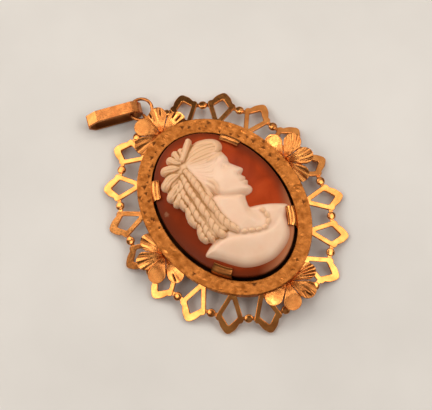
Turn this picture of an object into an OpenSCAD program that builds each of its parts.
// Oval cameo pendant. A carved shell cameo sits in a gold setting with a flat front ring,
// four claws and four half flowers. A pierced border of pointed arches stands out below
// the ring. A jump ring joins the setting's loop to a folded bail.
// Millimetres. +Z is out of the face, +Y is towards the bail, and the origin is the centre
// of the oval in the plane that the pendant rests on.

/* [Cameo] */
// Width of the cameo
cameo_width = 18; // [17:0.5:19]
// Length of the cameo
cameo_length = 25; // [24:0.5:26]
// Height of the cameo's flat back above the rest plane
cameo_back = 2.7; // [2.6:0.05:2.8]
// Height of the cameo's straight edge
cameo_edge = 2.3; // [2:0.1:2.6]
// Rise of the dome over that edge
dome_rise = 1.7; // [1.2:0.1:2]

/* [Setting] */
// Gap between the cameo's edge and the front ring
ring_gap = 0.4; // [0.35:0.05:0.5]
// Width of the front ring
ring_width = 2.3; // [2:0.1:2.6]
// Thickness of the front ring
ring_thick = 0.5; // [0.4:0.05:0.6]
// Height of the front ring's top
ring_top = 3.85; // [3.8:0.05:4]
// Thickness of the collar's wall
collar_wall = 0.5; // [0.4:0.05:0.6]
// How far the collar's ledge reaches in under the cameo
ledge_reach = 1.2; // [0.8:0.1:1.6]
// Width of a claw
claw_width = 3.1; // [2.4:0.1:3.4]
// How far a claw folds over the cameo
claw_fold = 0.9; // [0.7:0.1:0.9]

/* [Flowers] */
// Length of a petal, from the flower's centre
petal_length = 4.6; // [4.2:0.1:4.8]
// Half the angle between a petal's straight sides
petal_half_angle = 24.5; // [22:0.5:25]
// Thickness of the flowers' sheet
petal_thick = 0.3; // [0.25:0.05:0.35]
// Slope of the flowers, down and outwards
petal_slope = 5; // [3:1:8]

/* [Border] */
// Reach of an arch from the front ring's edge, seen from above
arch_reach = 5.3; // [5:0.1:5.6]
// Slope of the border, down and outwards
border_slope = 25; // [22:1:26]
// Thickness of the border's sheet
border_thick = 0.45; // [0.4:0.05:0.5]
// Diameter of the beads between the arches
bead_d = 1.3; // [1.1:0.05:1.4]

/* [Bail and jump ring] */
// Diameter of the jump ring's wire
wire_d = 0.5; // [0.45:0.05:0.65]
// Diameter of the jump ring, to the middle of its wire
jump_d = 3.4; // [3.3:0.05:3.5]
// Length of the bail
bail_length = 8.6; // [8:0.1:9]
// Width of the bail's strip
bail_width = 1.95; // [1.85:0.05:2]
// Depth of the bail's loop
bail_depth = 2.5; // [2.3:0.1:2.7]
// Thickness of the bail's strip
bail_thick = 0.35; // [0.3:0.05:0.4]

/* [Hidden] */

// Small gap between two pieces, and the border's gap round the collar
gap = 0.06;
sheet_gap = 0.15;
$fn = 64;
gold = "goldenrod";
shell = "chocolate";

// Half axes of the ovals, across and along the pendant
cameo_half = [cameo_width, cameo_length] / 2;
ring_in = cameo_half + [ring_gap, ring_gap];
ring_out = ring_in + [ring_width, ring_width];
collar_out = ring_in + [collar_wall, collar_wall];
ledge_in = ring_in - [ledge_reach, ledge_reach];

rim_z = cameo_back + cameo_edge;
ring_low = ring_top - ring_thick;
border_top = ring_low - petal_thick - gap;
flange_top = border_top - border_thick - gap;
flange_out = collar_out + [1, 1];
flange_thick = 0.35;

// The claws stand on the diagonals, at these angles from the top
claw_angles = [54, 131, 230, 312];
claw_thick = ring_gap - gap;
flower_angles = [0, 90, 180, 270];
petal_angles = [-78, -26, 26, 78];
// The uncut middle of a flower, how far its centre lies in from the ring's edge, and how far
// its sheet is sunk into the ring
petal_hub = 1.6;
petal_tuck = 0.25;
petal_sink = 0.1;
// Width of a petal's wedge as a share of its round end
petal_waist = 0.97;

arches = 18;
arch_steps = 360;
// The arches behind the top and bottom flowers end in a plain bar
plain_arches = [0, 9];
// Half of an arch's outline in plan: distance from its middle line, and distance out from the ring
arch_outline = [
    [0.62, -0.15], [0.62, 0], [1.9, 2.65], [2.12, 3.25], [1.9, 3.55], [1.58, 3.7], [1.42, 4],
    [1.16, 4.45], [0.78, 4.85], [0.34, 5.2], [0, 5.3]
];
// Half of an arch's kite-shaped hole
arch_hole = [[0, 0.35], [1.22, 2.85], [0, 4.2]];
// The same for an arch that ends in a plain bar
plain_outline = [[0.62, -0.15], [0.62, 0], [1.98, 2.75], [1.98, 3.3], [1.1, 3.3], [0.8, 2.6], [0, 2.6]];
plain_hole = [[0, 0.35], [0.75, 2], [0, 2]];
arch_plan_reach = 5.3;
shoulder_out = 2.9;

neck_width = 0.6;
neck_length = 2.4;
neck_thick = 0.3;
bead_thick = 0.7;

loop_wire = 0.45;
loop_r = 0.72;
loop_out = 3.8;
loop_z = ring_low - 1.65;
tongue_width = 0.8;
tongue_start = 1.3;
tongue_thick = 0.3;

// Rise of each layer of the carving over the dome
bust_rise = 0.7;
head_rise = 1.3;
hair_rise = 1.5;
tuft_rise = 1.7;
lock_rise = 1.6;
// Outlines of the carving's layers, across and along the pendant from the cameo's middle
bust_outline = [
    [-7.2, -4.6], [-6.2, -6.9], [-4.4, -9.2], [-2, -10.7], [0, -11.1], [2, -10.9], [4.4, -9.4],
    [5.9, -7.6], [7, -5.9], [4.9, -4.6], [3.2, -3.6], [-4.4, -3.2]
];
head_outline = [
    [-2.8, 8.4], [0.4, 9.4], [3, 8.9], [4.3, 7.7], [4.6, 6.3], [4.45, 5], [4.85, 3.6], [5.5, 2.2],
    [5.3, 1.7], [4.6, 1.5], [4.85, 0.9], [4.6, 0.55], [4.7, 0.1], [4.2, -0.4], [4.3, -1.1],
    [3.5, -1.7], [2.4, -1.3], [2, -2.2], [2.3, -3.4], [3.6, -5.6], [-3, -6.6]
];
hair_outline = [
    [-6.2, 4.6], [-5.8, 6.6], [-4.6, 8.9], [-3.5, 10], [-0.5, 10.6], [2, 10.1], [3.5, 9.6], [4.8, 9],
    [5.5, 7.9], [4.8, 6.3], [2.6, 5.3], [0.6, 3.6], [0, 1.4], [-0.6, -2.6], [-5.6, -3.4], [-6.3, -1.8],
    [-5.7, 2.6]
];
tuft_outline = [[-3.4, 9], [-2.4, 10.7], [-0.5, 11.1], [1.6, 11.1], [2.2, 10.8], [0.6, 9.6], [-1.6, 8.4]];
// The hanging locks of hair: columns are top across, top along, end across, end along and width
locks = [
    [-5.5, 4.2, -5.8, -3.4, 1.1],
    [-4.4, 5.2, -4.6, -3.8, 1.1],
    [-3.2, 6.2, -3.3, -4.4, 1.1],
    [-2, 6.8, -2, -4.4, 1.1],
    [-0.9, 7, -0.8, -5.4, 0.9]
];

jump_place = [0.32, 20.76, 1.53];
jump_turn = [-4, 0, 0];

// The bail's outline from the side, from its jump ring end, with its lower run on the rest plane
bail_outline = [
    [0, 1.2], [0.55, 0.35], [1.3, 0], [bail_length - 0.9, 0], [bail_length, 0.8],
    [bail_length, bail_depth - 0.8], [bail_length - 1.5, bail_depth], [1.4, bail_depth],
    [0.6, bail_depth - 0.35]
];
bail_place = [0.5, 20.65, 0.21];
// It leans to one side by the first angle and points away from the pendant by the third
bail_turn = [12, 0, 155.6];

function on_oval(half, t) = [half[0] * sin(t), half[1] * cos(t)];

// Both halves of an outline given by its right half, stretched outwards
function both_halves(points, stretch) = concat(
    [for (p = points) [p[0], p[1] * stretch]],
    [for (i = [len(points) - 1:-1:0]) if (points[i][0] > 0) [-points[i][0], points[i][1] * stretch]]
);

// Angle that the oval's outward normal makes with the top
function normal_angle(half, t) = atan2(sin(t) / half[0], cos(t) / half[1]);

// Arc length along an oval, as rows of length and angle
function arc_rows(half, i = 0, sum = 0) = i > arch_steps ? [] :
    let (now = on_oval(half, i), next = on_oval(half, i + 1))
    concat([[sum, i]], arc_rows(half, i + 1, sum + norm(next - now)));

spine = ring_out + [shoulder_out, shoulder_out];
spine_rows = arc_rows(spine);
spine_length = spine_rows[arch_steps][0];
function spine_angle(step) = lookup(spine_length * step / arches, spine_rows);

// Angle on the front ring's edge of the point that stands square under the spine's angle t
function foot_angle(t) =
    let (here = on_oval(spine, t), turn = normal_angle(spine, t),
        foot = here - shoulder_out * [sin(turn), cos(turn)])
    atan2(foot[0] / ring_out[0], foot[1] / ring_out[1]);

module oval(half) {
    scale([half[0], half[1]]) circle(r = 1);
}

module oval_band(outer, inner, low, height) {
    translate([0, 0, low])
        linear_extrude(height)
            difference() {
                oval(outer);
                oval(inner);
            }
}

// Puts its children on the oval at angle t, with their +Y along the outward normal
module at_oval(half, t, z = 0) {
    place = on_oval(half, t);
    translate([place[0], place[1], z])
        rotate([0, 0, -normal_angle(half, t)])
            children();
}

module front_ring() {
    oval_band(ring_out, ring_in, ring_low, ring_thick);
}

module collar() {
    // The foot is cut off flat, because the pendant rests on it
    difference() {
        oval_band(collar_out, ring_in, -1, ring_low + 1);
        translate([-collar_out[0] - 1, -collar_out[1] - 1, -2])
            cube([2 * collar_out[0] + 2, 2 * collar_out[1] + 2, 2]);
    }
    oval_band(collar_out, ledge_in, cameo_back - gap - flange_thick, flange_thick);
    oval_band(flange_out, ring_in, flange_top - flange_thick, flange_thick);
}

// The cameo's plain body with its dome raised and its edge moved out
module cameo_body(rise = 0, grow = 0) {
    base_r = cameo_half[0];
    dome_r = (base_r * base_r + dome_rise * dome_rise) / (2 * dome_rise);
    top = cameo_edge + dome_rise + rise;
    translate([0, 0, cameo_back])
        scale([1, cameo_half[1] / cameo_half[0], 1])
            intersection() {
                cylinder(r = base_r + grow, h = top, $fn = 120);
                translate([0, 0, top - dome_r]) sphere(r = dome_r, $fn = 360);
            }
}

// Strips up the cameo's edge, folded in over its rim
module claws() {
    beyond = claw_fold + 1;
    intersection() {
        difference() {
            intersection() {
                cameo_body(gap + claw_thick, 1);
                oval_band(ring_in + [gap, gap], cameo_half - [claw_fold, claw_fold], cameo_back, cameo_edge + 1);
            }
            translate([0, 0, -gap]) cameo_body(2 * gap, gap);
        }
        for (t = claw_angles)
            at_oval(cameo_half, t)
                translate([-claw_width / 2, -beyond, 0])
                    cube([claw_width, 2 * beyond, 2 * rim_z]);
    }
}

// A wedge whose sides run into the circle at its end
module petal() {
    end_y = petal_length / (1 + sin(petal_half_angle));
    end_r = end_y * sin(petal_half_angle);
    waist = petal_waist * end_r;
    translate([0, end_y]) circle(r = end_r);
    polygon([[0, 0], [waist, end_y], [-waist, end_y]]);
}

// Puts its children in the sheet of the flower at angle t, sunk a little into the ring's underside
module at_flower(t) {
    at_oval(ring_out - [petal_tuck, petal_tuck], t, ring_low + petal_sink)
        rotate([-petal_slope, 0, 0])
            children();
}

module half_flower(t) {
    at_flower(t)
        translate([0, 0, -petal_thick])
            linear_extrude(petal_thick)
                union() {
                    circle(r = petal_hub);
                    for (a = petal_angles) rotate(a) petal();
                }
}

// A tongue under the top flower with a small loop at its end, for the jump ring
module ring_loop() {
    at_flower(0)
        translate([-tongue_width / 2, tongue_start, -petal_thick - tongue_thick + petal_sink / 2])
            cube([tongue_width, petal_tuck + loop_out - tongue_start, tongue_thick]);
    translate([0, ring_out[1] + loop_out, loop_z])
        rotate([0, 90, 0])
            rotate_extrude() translate([loop_r, 0]) circle(d = loop_wire);
}

module setting() {
    color(gold) {
        front_ring();
        collar();
        claws();
        for (t = flower_angles) half_flower(t);
        ring_loop();
    }
}

// One arch of the border, flat, with its root at the front ring's edge and +Y outwards
module arch_sheet(outline, hole) {
    stretch = arch_reach / arch_plan_reach / cos(border_slope);
    linear_extrude(border_thick)
        difference() {
            polygon(both_halves(outline, stretch));
            polygon(both_halves(hole, stretch));
        }
}

module arch(step) {
    plain = len(search(step, plain_arches)) > 0;
    at_oval(ring_out, foot_angle(spine_angle(step)), border_top - border_thick)
        rotate([-border_slope, 0, 0])
            arch_sheet(plain ? plain_outline : arch_outline, plain ? plain_hole : arch_hole);
}

// A round bead and the necks that join it to the arches at its sides
module border_bead(step) {
    low = border_top - border_thick / 2 - shoulder_out * tan(border_slope);
    at_oval(spine, spine_angle(step + 0.5), low)
        rotate([-border_slope, 0, 0]) {
            cylinder(d = bead_d, h = bead_thick, center = true);
            cube([neck_length, neck_width, neck_thick], center = true);
        }
}

module pierced_border() {
    color(gold) {
        oval_band(ring_out - [0.05, 0.05], collar_out + [sheet_gap, sheet_gap], border_top - border_thick, border_thick);
        for (step = [0:arches - 1]) {
            arch(step);
            border_bead(step);
        }
    }
}

// A layer of the carving: an outline cut off by the raised dome
module carving(rise) {
    intersection() {
        translate([0, 0, cameo_back + 1]) linear_extrude(2 * rim_z) children();
        cameo_body(rise);
    }
}

// Outline of a lock of hair with round ends
module lock_outline(lock) {
    top = [lock[0], lock[1]];
    along = [lock[2], lock[3]] - top;
    translate(top)
        rotate(atan2(along[1], along[0])) {
            translate([0, -lock[4] / 2]) square([norm(along), lock[4]]);
            circle(d = lock[4], $fn = 24);
            translate([norm(along), 0]) circle(d = lock[4], $fn = 24);
        }
}

module cameo() {
    color(shell) {
        cameo_body(0);
        carving(bust_rise) polygon(bust_outline);
        carving(head_rise) polygon(head_outline);
        carving(hair_rise) polygon(hair_outline);
        carving(tuft_rise) polygon(tuft_outline);
        carving(lock_rise) for (lock = locks) lock_outline(lock);
    }
}

module jump_ring() {
    color(gold)
        translate(jump_place)
            rotate(jump_turn)
                rotate_extrude() translate([jump_d / 2, 0]) circle(d = wire_d);
}

// Inner outline of a strip whose outer outline is a convex polygon, listed anticlockwise
function inset(points, depth) = [
    for (i = [0:len(points) - 1])
        let (
            n = len(points),
            before = points[(i + n - 1) % n], here = points[i], after = points[(i + 1) % n],
            a = (here - before) / norm(here - before), b = (after - here) / norm(after - here),
            normal_a = [-a[1], a[0]], normal_b = [-b[1], b[0]],
            s = depth / (1 + normal_a * normal_b)
        )
        here + s * (normal_a + normal_b)
];

module bail() {
    color(gold)
        translate(bail_place)
            rotate(bail_turn)
                rotate([90, 0, 0])
                    translate([0, 0, -bail_width / 2])
                        linear_extrude(bail_width)
                            difference() {
                                polygon(bail_outline);
                                polygon(inset(bail_outline, bail_thick));
                            }
}

setting();
pierced_border();
cameo();
jump_ring();
bail();
